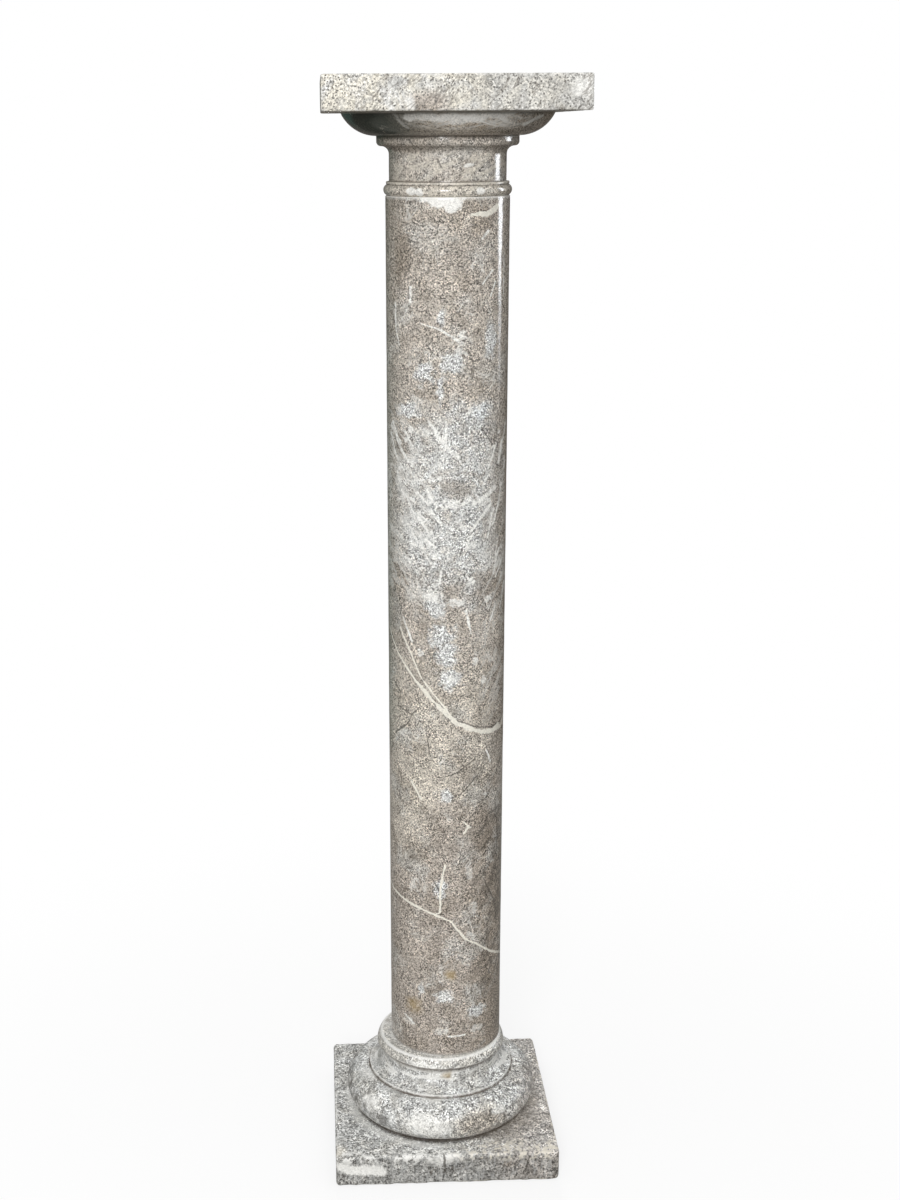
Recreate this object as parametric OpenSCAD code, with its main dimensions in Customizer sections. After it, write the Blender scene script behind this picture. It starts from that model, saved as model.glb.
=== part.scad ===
// Marble pedestal column of the plain Doric (Tuscan) kind, with a smooth shaft.
// Five stones stand on one another: plinth, base, shaft, capital and abacus.
// As in a classical order, every moulding is set out by how far it reaches past or
// stands back from the one it springs from, starting at the shaft.
// The origin is the centre of the plinth's underside; +Z is up, sizes are millimetres.

/* [Whole column] */
// Height from the floor to the top of the abacus; the shaft takes what the others leave
column_h = 1067; // [600:1:1800]

/* [Shaft] */
// Radius of the plain cylindrical shaft
shaft_r = 57; // [35:0.1:120]
// How far the shaft and the stones above it stand to the right of the base's centre
shaft_shift = 5.2; // [0:0.1:12]
// Bevel along the shaft's two bed edges
shaft_bevel = 0.7; // [0.3:0.1:3]

/* [Plinth] */
// Thickness of the plinth
plinth_h = 32.5; // [16:0.5:80]
// How far each side of the square plinth stands out past the torus
plinth_margin = 14.4; // [4:0.1:40]
// Radius of the plinth's worn upright corners
plinth_corner_r = 5; // [0.5:0.1:14]
// Radius of the plinth's worn level edges
plinth_arris_r = 2.4; // [0.5:0.1:6]

/* [Base] */
// Height of the torus, the fat moulding that stands on the plinth
torus_h = 42; // [16:0.5:80]
// How far the torus reaches out past the fillet that lies on it
torus_reach = 24.1; // [12:0.1:50]
// How much of a half-round's circle is cut off by the levels it lies between
round_cut = 0.3; // [0.1:0.1:2]
// Height of the fillet on the torus
base_fillet_h = 3; // [1:0.1:12]
// How far the scotia, the hollow above the fillet, runs out past the throat
scotia_reach = 13; // [5:0.1:30]
// How much wider the scotia's round is than its run, which leaves its lip crisp
scotia_lip = 0.4; // [0:0.1:3]
// Height of the throat's straight stretch
throat_h = 11.4; // [2:0.1:40]
// How far the throat stands back under the ring
throat_setback = 4.8; // [1:0.1:15]
// Height of the ring that carries the shaft
ring_h = 10.4; // [6:0.1:30]
// How far the ring swells out past its flat top
ring_swell = 4.2; // [1:0.1:6]
// Flat of the ring's top that is left beside the shaft's foot on its narrow side
ring_ledge = 0.2; // [0:0.1:15]

/* [Capital] */
// Height of the astragal, the bead at the foot of the capital
astragal_h = 9.8; // [6:0.1:20]
// How far the astragal swells out past the shaft
astragal_reach = 1.7; // [0.5:0.1:8]
// Height of the collar above the astragal
collar_h = 2.4; // [1:0.1:8]
// How far the collar stands out past the neck
collar_step = 2.7; // [0.5:0.1:5]
// Height of the neck's straight stretch
neck_h = 23.7; // [8:0.1:80]
// How far the neck stands back from the shaft
neck_setback = 3.5; // [0:0.1:10]
// Radius of the cavetto, the small hollow that opens the neck out
cavetto_r = 7; // [3:0.1:20]
// Height of the fillet under the echinus
capital_fillet_h = 8.8; // [2:0.1:20]
// How far that fillet stands out past the cavetto
capital_fillet_step = 4.3; // [0.5:0.1:15]
// Height of the echinus, the cushion under the abacus
echinus_h = 20.2; // [8:0.1:30]
// How far the echinus swells out past the fillet
echinus_reach = 32.1; // [30:0.1:60]

/* [Abacus] */
// Thickness of the abacus
abacus_h = 30; // [12:0.5:80]
// How far each side of the square abacus stands out past the echinus
abacus_margin = 17.4; // [2:0.1:60]
// Radius of the abacus's upright corners
abacus_corner_r = 1.6; // [0.5:0.1:12]
// Radius of the abacus's level edges
abacus_arris_r = 1.2; // [0.5:0.1:5]

/* [Hidden] */
$fn = 96;

// radii of the base, from the shaft outwards
ring_top_r = shaft_r + shaft_shift + ring_ledge;
ring_r = ring_top_r + ring_swell;
throat_r = ring_r - throat_setback;
scotia_r = scotia_reach + scotia_lip;
base_fillet_r = throat_r + scotia_reach;
torus_r = base_fillet_r + torus_reach;
plinth_w = 2 * (torus_r + plinth_margin);

// radii of the capital, from the shaft outwards
astragal_r = shaft_r + astragal_reach;
neck_r = shaft_r - neck_setback;
collar_r = neck_r + collar_step;
capital_fillet_r = neck_r + cavetto_r + capital_fillet_step;
echinus_r = capital_fillet_r + echinus_reach;
abacus_w = 2 * (echinus_r + abacus_margin);

// levels inside the base, from its bed on the plinth
scotia_z = torus_h + base_fillet_h;
throat_z = scotia_z + scotia_r;
ring_z = throat_z + throat_h;
base_h = ring_z + ring_h;

// levels inside the capital, from its bed on the shaft
collar_z = astragal_h;
neck_z = collar_z + collar_h;
cavetto_z = neck_z + neck_h;
capital_fillet_z = cavetto_z + cavetto_r;
echinus_z = capital_fillet_z + capital_fillet_h;
capital_h = echinus_z + echinus_h;

// levels of the beds between the stones, from the floor
shaft_z = plinth_h + base_h;
abacus_z = column_h - abacus_h;
capital_z = abacus_z - capital_h;
shaft_h = capital_z - shaft_z;

// radius of an arc that leaves one direction square-on and, after `run` along it,
// has drawn aside by `aside`
function easing_arc_r(run, aside) = (run * run + aside * aside) / (2 * aside);

// rectangle with round corners, centred on the origin
module rounded_rect(w, h, corner_r) {
    square([w, h - 2 * corner_r], center = true);
    square([w - 2 * corner_r, h], center = true);
    for (side_x = [-1, 1], side_y = [-1, 1])
        translate([side_x * (w / 2 - corner_r), side_y * (h / 2 - corner_r)])
            circle(corner_r);
}

// square slab on z = 0 with round upright corners and round edges above and below
module slab(w, h, corner_r, arris_r) {
    intersection() {
        linear_extrude(h)
            rounded_rect(w, w, corner_r);
        for (turn = [0, 90])
            rotate([0, 0, turn])
                translate([0, w, h / 2])
                    rotate([90, 0, 0])
                        linear_extrude(2 * w)
                            rounded_rect(w, h, arris_r);
    }
}

// The modules below draw half profiles, which rotate_extrude turns about the axis.

// plain disc: from the axis out to r, between z and z + h
module band(r, z, h) {
    translate([0, z])
        square([r, h]);
}

// disc between z and z + h whose side is an arc, with its centre at centre_r, centre_z
module rounded_disc(centre_r, centre_z, arc_r, z, h) {
    band(centre_r, z, h);
    intersection() {
        band(centre_r + 2 * arc_r, z, h);
        translate([centre_r, centre_z])
            circle(arc_r);
    }
}

// half-round moulding that reaches out to r, between z and z + h
module bead(r, z, h) {
    section_r = h / 2 + round_cut;
    rounded_disc(r - section_r, z + h / 2, section_r, z, h);
}

// moulding that is upright at r on its foot and leans in to top_r at its top
module leaning_round(r, top_r, z, h) {
    arc_r = easing_arc_r(h, r - top_r);
    rounded_disc(r - arc_r, z, arc_r, z, h);
}

// cushion that leaves r level at its foot and swells out to top_r at its top
module cushion(r, top_r, z, h) {
    arc_r = easing_arc_r(top_r - r, h);
    rounded_disc(r, z + arc_r, arc_r, z, h);
}

// disc of radius outer_r, as high as the quarter hollow that is cut round it down to
// inner_r: the hollow runs out at the disc's foot (opens_down) or at its top
module hollow(inner_r, outer_r, hollow_r, z, opens_down) {
    difference() {
        band(outer_r, z, hollow_r);
        translate([inner_r + hollow_r, opens_down ? z + hollow_r : z])
            circle(hollow_r);
    }
}

module plinth() {
    color([0.60, 0.58, 0.55])
        slab(plinth_w, plinth_h, plinth_corner_r, plinth_arris_r);
}

module base() {
    color([0.66, 0.63, 0.59])
        translate([0, 0, plinth_h])
            rotate_extrude() {
                bead(torus_r, 0, torus_h);
                band(base_fillet_r, torus_h, base_fillet_h);
                hollow(throat_r, base_fillet_r, scotia_r, scotia_z, true);
                band(throat_r, throat_z, throat_h);
                leaning_round(ring_r, ring_top_r, ring_z, ring_h);
            }
}

module shaft() {
    color([0.62, 0.56, 0.50])
        translate([shaft_shift, 0, shaft_z])
            rotate_extrude()
                polygon([
                    [0, 0],
                    [shaft_r - shaft_bevel, 0],
                    [shaft_r, shaft_bevel],
                    [shaft_r, shaft_h - shaft_bevel],
                    [shaft_r - shaft_bevel, shaft_h],
                    [0, shaft_h]
                ]);
}

module capital() {
    color([0.58, 0.52, 0.46])
        translate([shaft_shift, 0, capital_z])
            rotate_extrude() {
                bead(astragal_r, 0, astragal_h);
                band(collar_r, collar_z, collar_h);
                band(neck_r, neck_z, neck_h);
                hollow(neck_r, neck_r + cavetto_r, cavetto_r, cavetto_z, false);
                band(capital_fillet_r, capital_fillet_z, capital_fillet_h);
                cushion(capital_fillet_r, echinus_r, echinus_z, echinus_h);
            }
}

module abacus() {
    color([0.74, 0.71, 0.66])
        translate([shaft_shift, 0, abacus_z])
            slab(abacus_w, abacus_h, abacus_corner_r, abacus_arris_r);
}

plinth();
base();
shaft();
capital();
abacus();
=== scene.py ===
"""Looks of a marble pedestal column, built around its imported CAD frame.

Five turned or squared stones of grey-beige fossil marble stand on one another.
Shapes and patterns are worked out in millimetres, +Z up and the front at -Y; the meshes,
the lamps and the camera are in metres, as the frame is.
"""

import math
import random

import bpy
import numpy as np
from mathutils import Matrix, Vector, noise


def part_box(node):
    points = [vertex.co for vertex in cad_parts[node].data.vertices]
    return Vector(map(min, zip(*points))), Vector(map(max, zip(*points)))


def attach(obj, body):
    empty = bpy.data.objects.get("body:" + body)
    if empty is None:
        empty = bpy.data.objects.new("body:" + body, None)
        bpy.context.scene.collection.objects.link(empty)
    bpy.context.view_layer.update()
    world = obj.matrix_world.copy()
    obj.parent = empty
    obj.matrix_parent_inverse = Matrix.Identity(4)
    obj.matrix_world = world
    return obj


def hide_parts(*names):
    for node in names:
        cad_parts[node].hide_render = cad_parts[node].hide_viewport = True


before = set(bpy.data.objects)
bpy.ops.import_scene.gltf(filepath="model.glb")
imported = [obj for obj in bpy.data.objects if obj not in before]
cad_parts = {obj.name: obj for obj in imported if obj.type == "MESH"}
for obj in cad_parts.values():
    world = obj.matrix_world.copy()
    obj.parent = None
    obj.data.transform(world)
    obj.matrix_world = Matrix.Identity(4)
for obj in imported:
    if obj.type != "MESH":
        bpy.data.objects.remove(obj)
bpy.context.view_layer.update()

MM = 0.001


# ---------------------------------------------------------------- sizes

def side(node, corner, axis):
    """Coordinate of a CAD node's lowest (0) or highest (1) corner, in millimetres."""
    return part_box(node)[corner][axis] / MM


def half_width(node):
    """Half of a CAD node's width from left to right, in millimetres."""
    return (side(node, 1, 0) - side(node, 0, 0)) / 2


def middle(node):
    """How far to the right a CAD node's middle lies, in millimetres."""
    return (side(node, 0, 0) + side(node, 1, 0)) / 2


SHAFT_X = middle("shaft")
PLINTH_TOP = side("plinth", 1, 2)
SHAFT_FOOT = side("shaft", 0, 2)
SHAFT_TOP = side("shaft", 1, 2)
ABACUS_BED = side("abacus", 0, 2)

TORUS_R = half_width("base")
SHAFT_R = half_width("shaft")
ECHINUS_R = half_width("capital")

# how much of a half-round's circle is cut off by the levels it lies between
ROUND_CUT = 0.3

# mouldings of the base, as heights and radii
TORUS_H = 42.0
BASE_FILLET_H = 3.0
BASE_FILLET_R = 74.8
SCOTIA_ARC_R = 13.4
SCOTIA_LIP_TURN = 268
THROAT_R = 61.8
THROAT_H = 11.4
RING_R = 66.6
RING_TOP_R = 62.4

# levels of the base's mouldings
TORUS_TOP = PLINTH_TOP + TORUS_H
BASE_FILLET_TOP = TORUS_TOP + BASE_FILLET_H
SCOTIA_TOP = BASE_FILLET_TOP + SCOTIA_ARC_R
RING_FOOT = SCOTIA_TOP + THROAT_H

# mouldings of the capital, as heights and radii
ASTRAGAL_R = 58.7
ASTRAGAL_H = 9.8
COLLAR_R = 56.2
COLLAR_H = 2.4
NECK_R = 53.5
NECK_H = 23.7
CAVETTO_ARC_R = 7.0
CAPITAL_FILLET_R = 64.8
CAPITAL_FILLET_H = 8.8

# levels of the capital's mouldings
COLLAR_FOOT = SHAFT_TOP + ASTRAGAL_H
NECK_FOOT = COLLAR_FOOT + COLLAR_H
CAVETTO_FOOT = NECK_FOOT + NECK_H
CAPITAL_FILLET_FOOT = CAVETTO_FOOT + CAVETTO_ARC_R
ECHINUS_FOOT = CAPITAL_FILLET_FOOT + CAPITAL_FILLET_H


# ---------------------------------------------------------------- outlines and meshes

def arc(centre, radius, start, end, steps=14):
    """Points of an arc in a half profile; angles in degrees from straight out, upwards."""
    turns = [math.radians(start + (end - start) * i / steps) for i in range(steps + 1)]
    return [(centre[0] + radius * math.cos(a), centre[1] + radius * math.sin(a)) for a in turns]


def softened(points, radius):
    """The same line with each sharp corner rounded off by a short curve."""
    line = [Vector(points[0])]
    for before, corner, after in zip(points, points[1:], points[2:]):
        before, corner, after = Vector(before), Vector(corner), Vector(after)
        back, ahead = before - corner, after - corner
        if back.length < 1e-6 or ahead.length < 1e-6:
            continue
        if back.angle(-ahead) < math.radians(20):
            line.append(corner)
            continue
        start = corner + back.normalized() * min(radius, back.length / 2)
        end = corner + ahead.normalized() * min(radius, ahead.length / 2)
        for t in (0, 0.25, 0.5, 0.75, 1):
            line.append(start.lerp(corner, t).lerp(corner.lerp(end, t), t))
    line.append(Vector(points[-1]))
    return line


def walked(line, step):
    """The same line with its long stretches cut into steps."""
    out = [line[0]]
    for a, b in zip(line, line[1:]):
        cuts = max(1, math.ceil((b - a).length / step))
        out += [a.lerp(b, i / cuts) for i in range(1, cuts + 1)]
    return np.array([tuple(p) for p in out])


def bend_along(line, reach):
    """How sharply a line turns within reach of each point: over 0 on an edge, under 0 in a crease."""
    steps = np.linalg.norm(np.diff(line, axis=0), axis=1)
    run = np.concatenate([[0], np.cumsum(steps)])

    def at(distance):
        distance = np.clip(distance, 0, run[-1])
        return np.stack([np.interp(distance, run, line[:, k]) for k in (0, 1)], axis=1)

    back = at(run) - at(run - reach)
    ahead = at(run + reach) - at(run)
    cross = back[:, 0] * ahead[:, 1] - back[:, 1] * ahead[:, 0]
    dot = (back * ahead).sum(axis=1)
    return np.arctan2(cross, dot)


def smooth(value, low, high):
    """0 below low, 1 above high and a smooth step between."""
    t = np.clip((value - low) / (high - low), 0, 1)
    return t * t * (3 - 2 * t)


def wobble(points, size, seed):
    """Smooth noise between -1 and 1 at each point, with lumps of the given size."""
    shift = Vector((seed * 7.13, seed * 3.71, seed * 5.37))
    return np.array([noise.noise(Vector(p) / size + shift) for p in points])


def carve(points, wear, centre, radius, seed):
    """Knocks a chip out of the stone: points inside a rough ball move out to its surface."""
    away = points - np.array(centre)
    gap = np.linalg.norm(away, axis=1)
    near = np.flatnonzero((gap < radius * 1.3) & (gap > 1e-6))
    if len(near) == 0:
        return
    rough = radius * (1 + 0.22 * wobble(points[near], radius * 0.6, seed))
    push = np.maximum(rough - gap[near], 0)
    points[near] += away[near] / gap[near][:, None] * push[:, None]
    wear[near] = np.maximum(wear[near], smooth(push, 0.02 * radius, 0.25 * radius))


def build(name, points, faces, wear, crease_shade):
    """A smooth-shaded mesh object from points in millimetres, with its wear and its crease mask for
    painted shade.
    """
    mesh = bpy.data.meshes.new(name)
    mesh.from_pydata([tuple(p) for p in points * MM], [], faces)
    mesh.update()
    for title, values in (("wear", wear), ("crease_shade", crease_shade)):
        layer = mesh.attributes.new(title, "FLOAT", "POINT")
        layer.data.foreach_set("value", np.asarray(values, dtype=np.float32))
    mesh.shade_smooth()
    piece = bpy.data.objects.new(name, mesh)
    bpy.context.collection.objects.link(piece)
    return piece


def turn_from(across, angle):
    """Angles as measured from one of them, the short way round."""
    return (across - angle + 180) % 360 - 180


def line_layers(across, up, lines):
    """Signed and plain distance of each point from the nearest line, as shares of its width."""
    nearest = np.full(len(across), 1e9)
    signed = np.zeros(len(across))
    for points, first, last in lines:
        count = len(points) - 1
        for k, (start, end) in enumerate(zip(points, points[1:])):
            run_a, run_u = end[0] - start[0], end[1] - start[1]
            from_a, from_u = turn_from(across, start[0]), up - start[1]
            span = math.hypot(run_a, run_u)
            along = np.clip((from_a * run_a + from_u * run_u) / span ** 2, 0, 1)
            width = first + (last - first) * (k + along) / count
            gap = np.hypot(from_a - along * run_a, from_u - along * run_u) / width
            aside = (from_a * run_u - from_u * run_a) / span / width
            signed = np.where(gap < nearest, aside, signed)
            nearest = np.minimum(gap, nearest)
    return np.clip(signed, -3, 3), np.minimum(nearest, 3)


def patch_layer(across, up, patches):
    """1 in the middle of an oval patch, 0 on its outline and less outside."""
    inside = np.full(len(across), -1.0)
    for centre, size in patches:
        out = np.hypot(turn_from(across, centre[0]) / size[0], (up - centre[1]) / size[1])
        inside = np.maximum(inside, 1 - out)
    return inside


def mark(stone, centre_x, lines, patches):
    """Stores the given lines and patches of a turned stone, by angle in degrees and height."""
    count = len(stone.data.vertices)
    spots = np.empty(count * 3)
    stone.data.vertices.foreach_get("co", spots)
    spots = spots.reshape(-1, 3) / MM
    across = np.degrees(np.arctan2(spots[:, 0] - centre_x, -spots[:, 1]))
    layers = {title: patch_layer(across, spots[:, 2], rows) for title, rows in patches.items()}
    for title, rows in lines.items():
        layers[title + "_off"], layers[title + "_gap"] = line_layers(across, spots[:, 2], rows)
    for title, values in layers.items():
        layer = stone.data.attributes.new(title, "FLOAT", "POINT")
        layer.data.foreach_set("value", values.astype(np.float32))


def spun_faces(rings, segments):
    """Faces of a spun surface: quads between its rings and a fan to the pole at each end."""
    bottom, top = rings * segments, rings * segments + 1
    faces = []
    for j in range(segments):
        k = (j + 1) % segments
        faces.append((bottom, k, j))
        faces.append((top, (rings - 1) * segments + j, (rings - 1) * segments + k))
        for i in range(rings - 1):
            low, high = i * segments, (i + 1) * segments
            faces.append((low + j, low + k, high + k, high + j))
    return faces


def turned(name, outline, centre_x, segments, step, chips, seed, edge_r=0.7):
    """A turned stone: its outline from axis to axis, spun round, worn and chipped."""
    line = walked(softened(outline, edge_r), step)
    rim = line[1:-1]
    wear_line = smooth(bend_along(line, 1.6), 0.35, 1.2)[1:-1]
    # how deep each point lies in a crease: the mask for painted shade in the creases
    crease_shade_line = smooth(-bend_along(line, 3.0), 0.3, 1.3)[1:-1]
    turn = np.arange(segments) * 2 * math.pi / segments
    out_x, out_y = np.sin(turn), -np.cos(turn)
    points = np.stack([
        np.outer(rim[:, 0], out_x),
        np.outer(rim[:, 0], out_y),
        np.repeat(rim[:, 1:2], segments, axis=1),
    ], axis=2).reshape(-1, 3)
    wear = np.repeat(wear_line, segments)
    crease_shade = np.repeat(crease_shade_line, segments)

    # hand-rubbed unevenness, inwards only
    outward = points * np.array([1, 1, 0])
    outward /= np.maximum(np.linalg.norm(outward, axis=1), 1e-6)[:, None]
    dent = 0.09 * (1 + wobble(points, 26.0, seed)) + 0.05 * (1 + wobble(points, 7.0, seed + 1))
    dent += wear * 0.45 * np.maximum(wobble(points, 5.0, seed + 2), 0)
    on_side = smooth(points[:, 0] ** 2 + points[:, 1] ** 2, 20.0 ** 2, 40.0 ** 2)
    points -= outward * (dent * on_side)[:, None]

    for number, (degrees, radius, level, size) in enumerate(chips):
        a = math.radians(degrees)
        centre = (radius * math.sin(a), -radius * math.cos(a), level)
        carve(points, wear, centre, size, seed + number)

    points[:, 2] = np.clip(points[:, 2], line[0][1], line[-1][1])
    points[:, 0] += centre_x
    poles = [(centre_x, 0, line[0][1]), (centre_x, 0, line[-1][1])]
    points = np.vstack([points, poles])
    wear = np.append(wear, [0, 0])
    crease_shade = np.append(crease_shade, [0, 0])
    return build(name, points, spun_faces(len(rim), segments), wear, crease_shade)


def ladder(half, zone, fine, coarse):
    """Cuts from -half to half: fine ones within zone of each end and coarse ones between."""
    ends = np.linspace(0, zone, math.ceil(zone / fine) + 1)
    inner = np.linspace(-half + zone, half - zone, math.ceil(2 * (half - zone) / coarse) + 1)
    return np.concatenate([-half + ends[:-1], inner, (half - ends[:-1])[::-1]])


def box_lattice(half_w, height, zone, fine, coarse):
    """Points and faces of a square box's surface, centred on x = y = 0 and standing on z = 0."""
    across = ladder(half_w, zone, fine, coarse)
    up = ladder(height / 2, min(zone, height / 2 - 1), fine, coarse) + height / 2
    last, top = len(across) - 1, len(up) - 1
    index, points, faces = {}, [], []

    def at(i, j, k):
        key = (i, j, k)
        if key not in index:
            index[key] = len(points)
            points.append((across[i], across[j], up[k]))
        return index[key]

    for i in range(last):
        for j in range(last):
            faces.append((at(i, j, 0), at(i, j + 1, 0), at(i + 1, j + 1, 0), at(i + 1, j, 0)))
            faces.append((at(i, j, top), at(i + 1, j, top), at(i + 1, j + 1, top), at(i, j + 1, top)))
        for k in range(top):
            faces.append((at(i, 0, k), at(i + 1, 0, k), at(i + 1, 0, k + 1), at(i, 0, k + 1)))
            faces.append((at(i + 1, last, k), at(i, last, k), at(i, last, k + 1), at(i + 1, last, k + 1)))
            faces.append((at(0, i + 1, k), at(0, i, k), at(0, i, k + 1), at(0, i + 1, k + 1)))
            faces.append((at(last, i, k), at(last, i + 1, k), at(last, i + 1, k + 1), at(last, i, k + 1)))
    return np.array(points), faces


def rounded(points, half_w, height, corner_r, arris_r):
    """The points of a square box moved so that its upright corners and level arrises are round."""
    # square rings in plan become round ones
    core = half_w - corner_r
    sign = np.sign(points[:, :2])
    past = np.maximum(np.abs(points[:, :2]) - core, 0)
    reach = past.max(axis=1)
    length = np.maximum(np.linalg.norm(past, axis=1), 1e-9)
    past *= (reach / length)[:, None]

    # the same in the plane of outward and up
    half_h, inset = height / 2, corner_r - arris_r
    from_middle = points[:, 2] - half_h
    out = np.maximum(reach - inset, 0)
    up = np.maximum(np.abs(from_middle) - (half_h - arris_r), 0)
    turn = np.maximum(out, up) / np.maximum(np.hypot(out, up), 1e-9)
    new_reach = np.where(out > 0, inset + out * turn, reach)
    past *= (new_reach / np.maximum(reach, 1e-9))[:, None]
    new_rise = np.where(up > 0, half_h - arris_r + up * turn, np.abs(from_middle))
    level = half_h + np.sign(from_middle) * new_rise
    return np.column_stack([sign * (np.minimum(np.abs(points[:, :2]), core) + past), level])


def squared(name, half_w, level, height, centre_x, corner_r, arris_r, chips, worn, seed):
    """A squared slab with round corners and arrises, worn and chipped along its edges."""
    points, faces = box_lattice(half_w, height, zone=8.0, fine=0.9, coarse=2.6)
    points = rounded(points, half_w, height, corner_r, arris_r)
    sign = np.sign(points[:, :2])

    # distance from the nearest arris
    from_side = half_w - np.abs(points[:, :2])
    from_bed = np.minimum(points[:, 2], height - points[:, 2])
    from_edge = np.sort(np.column_stack([from_side, from_bed]), axis=1)[:, 1]
    wear = 1 - smooth(from_edge, 0.3, 3.0)
    crease_shade = np.zeros(len(points))

    # the arrises are rubbed down by an uneven amount, and the faces are a little uneven too
    rubbed_w = 3.5
    to_middle = np.sign(height / 2 - points[:, 2])
    inward = np.empty_like(points)
    inward[:, :2] = -np.clip(points[:, :2], -1, 1) * (from_side < rubbed_w)
    inward[:, 2] = to_middle * (from_bed < rubbed_w)
    rub = (1 - smooth(from_edge, 0.0, rubbed_w)) * np.maximum(wobble(points, 9.0, seed) + 0.25, 0)
    points += inward * (rub * worn)[:, None]
    dent = 0.12 * (1 + wobble(points, 18.0, seed + 1))
    points[:, :2] -= sign * (from_side < 0.6) * dent[:, None]
    points[:, 2] += to_middle * (from_bed < 0.4) * dent

    for number, (x, y, z, size) in enumerate(chips):
        carve(points, wear, (x, y, z), size, seed + number)

    points = np.clip(points, (-half_w, -half_w, 0), (half_w, half_w, height))
    points += np.array([centre_x, 0, level])
    return build(name, points, faces, wear, crease_shade)


def edge_chips(half_w, height, count, smallest, largest, seed):
    """Random chips along a slab's twelve edges, as ball centres just outside them."""
    dice = random.Random(seed)
    chips = []
    for _ in range(count):
        size = dice.uniform(smallest, largest) * dice.uniform(0.5, 1)
        out = half_w + size * dice.uniform(0.35, 0.7)
        along = dice.uniform(-half_w, half_w)
        level = dice.choice((0, height)) + dice.uniform(-0.2, 0.2) * size
        if dice.random() < 0.25:
            along = dice.choice((-1, 1)) * out
            level = dice.uniform(0, height)
        spot = [(along, -out), (along, out), (-out, along), (out, along)][dice.randrange(4)]
        chips.append((spot[0], spot[1], level, size))
    return chips


def ring_chips(arrises, count, smallest, largest, seed):
    """Random chips along the round arrises (radius, level) of a turned stone."""
    dice = random.Random(seed)
    chips = []
    for _ in range(count):
        size = dice.uniform(smallest, largest) * dice.uniform(0.5, 1)
        radius, level = arrises[dice.randrange(len(arrises))]
        chips.append((dice.uniform(-180, 180), radius + size * dice.uniform(0.4, 0.8), level, size))
    return chips


# ---------------------------------------------------------------- the five stones

def base_outline():
    """Half profile of the base: torus, fillet, scotia, throat and the ring under the shaft."""
    section_r = TORUS_H / 2 + ROUND_CUT
    swing = math.degrees(math.asin(TORUS_H / 2 / section_r))
    ring_h = SHAFT_FOOT - RING_FOOT
    lean_r = (ring_h ** 2 + (RING_R - RING_TOP_R) ** 2) / (2 * (RING_R - RING_TOP_R))
    lean = math.degrees(math.asin(ring_h / lean_r))
    return (
        [(0, PLINTH_TOP)]
        + arc((TORUS_R - section_r, PLINTH_TOP + TORUS_H / 2), section_r, -swing, swing, 40)
        + [(BASE_FILLET_R, TORUS_TOP), (BASE_FILLET_R, BASE_FILLET_TOP)]
        + arc((THROAT_R + SCOTIA_ARC_R, SCOTIA_TOP), SCOTIA_ARC_R, SCOTIA_LIP_TURN, 180)
        + [(THROAT_R, RING_FOOT), (RING_R, RING_FOOT)]
        + arc((RING_R - lean_r, RING_FOOT), lean_r, 0, lean)[1:]
        + [(0, SHAFT_FOOT)]
    )


def shaft_outline():
    """Half profile of the shaft: a plain cylinder with a small bevel along each bed edge."""
    bevel = 0.7
    return [
        (0, SHAFT_FOOT),
        (SHAFT_R - bevel, SHAFT_FOOT),
        (SHAFT_R, SHAFT_FOOT + bevel),
        (SHAFT_R, SHAFT_TOP - bevel),
        (SHAFT_R - bevel, SHAFT_TOP),
        (0, SHAFT_TOP),
    ]


def capital_outline():
    """Half profile of the capital: astragal, collar, neck, cavetto, fillet and echinus."""
    section_r = ASTRAGAL_H / 2 + ROUND_CUT
    swing = math.degrees(math.asin(ASTRAGAL_H / 2 / section_r))
    foot_r = 4
    rise, reach = ABACUS_BED - ECHINUS_FOOT, ECHINUS_R - CAPITAL_FILLET_R
    swell_r = (rise ** 2 + reach ** 2) / (2 * rise)
    swell = math.degrees(math.asin(reach / swell_r))
    return (
        [(0, SHAFT_TOP)]
        + arc((ASTRAGAL_R - section_r, SHAFT_TOP + ASTRAGAL_H / 2), section_r, -swing, swing, 18)
        + [(COLLAR_R, COLLAR_FOOT), (COLLAR_R, NECK_FOOT), (NECK_R, NECK_FOOT)]
        + arc((NECK_R + CAVETTO_ARC_R, CAVETTO_FOOT), CAVETTO_ARC_R, 180, 90, 8)
        + arc((CAPITAL_FILLET_R - foot_r, CAPITAL_FILLET_FOOT + foot_r), foot_r, -90, 0, 6)
        + arc((CAPITAL_FILLET_R, ECHINUS_FOOT + swell_r), swell_r, -90, -90 + swell, 24)
        + [(0, ABACUS_BED)]
    )


def make_plinth():
    """The square slab at the foot, with its larger knocks at the front corners and the right."""
    half, height = half_width("plinth"), PLINTH_TOP
    knocks = [
        (-112, -117, 33, 6.0), (116, -115, 31, 5.0), (60, -116, 35, 4.0),
        (115, -40, 35, 5.0), (-40, -115, 34, 3.0), (117, -112, 2, 5.0),
    ]
    chips = knocks + edge_chips(half, height, 70, 1.2, 4.5, seed=11)
    return squared(
        "marble_plinth", half, 0, height, 0, corner_r=5.0, arris_r=2.4, chips=chips, worn=1.1, seed=21)


def make_base():
    """The turned base, with knocks along the lower edge of its ring in front."""
    edges = [(RING_R, RING_FOOT), (BASE_FILLET_R, BASE_FILLET_TOP), (RING_R - 1, RING_FOOT + 6)]
    sizes = {5: 3.6, 22: 3.0, -30: 3.0, 48: 4.0}
    knocks = [(degrees, RING_R + 2.2, RING_FOOT, size) for degrees, size in sizes.items()]
    chips = knocks + ring_chips(edges, 46, 1.0, 3.2, seed=12)
    return turned("marble_base", base_outline(), 0, segments=380, step=1.7, chips=chips, seed=31)


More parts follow.
